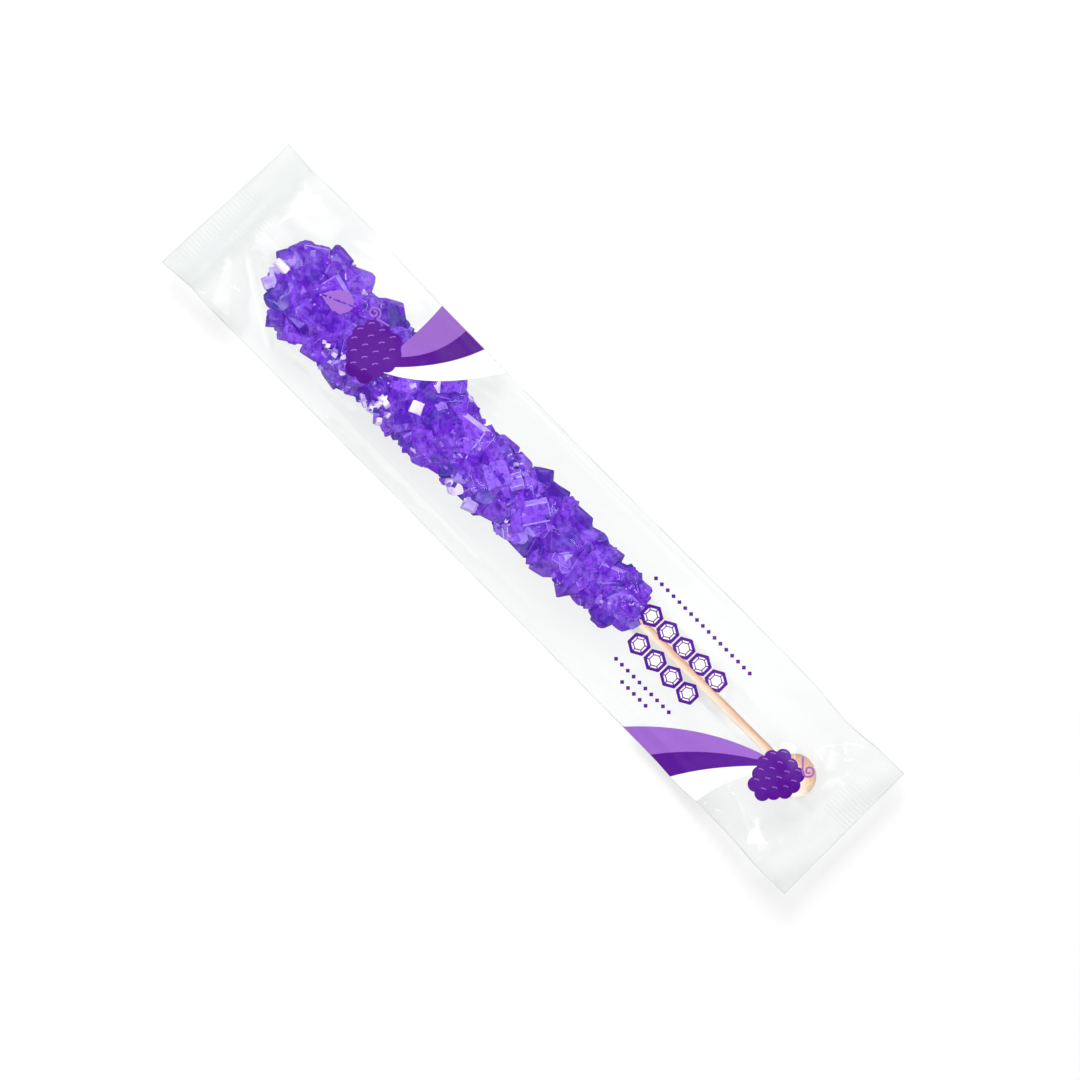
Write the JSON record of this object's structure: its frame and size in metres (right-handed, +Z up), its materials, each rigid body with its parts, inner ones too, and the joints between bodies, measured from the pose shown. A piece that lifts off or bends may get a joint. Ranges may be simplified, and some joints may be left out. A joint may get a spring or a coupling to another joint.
{
  "type": "rock candy stick in a clear flow-wrap pouch",
  "caption": "Purple rock candy grown on a ball-ended wooden stick, sealed in a long clear flow-wrap pouch with ribbed crimps, lying flat.",
  "frame": {"origin": "on the surface that the pouch lies on, under the middle of its bounding box", "axes": "+X along the pouch from the candy's tip to the stick's ball end, +Y across the pouch, +Z up out of its printed front"},
  "size_m": [0.207, 0.0408, 0.018],
  "materials": {
    "clear_film": "thin clear plastic film, glossy, with fine creases",
    "rock_candy": "translucent violet sugar crystals with glossy facets",
    "stick_wood": "pale fine-grained wood, smooth and unvarnished",
    "violet_ink": "deep violet ink printed on the film",
    "lavender_ink": "lavender ink printed on the film",
    "white_ink": "opaque white ink printed on the film"
  },
  "bodies": {
    "root": {"candy_pouch": "clear_film"}
  },
  "joints": []
}
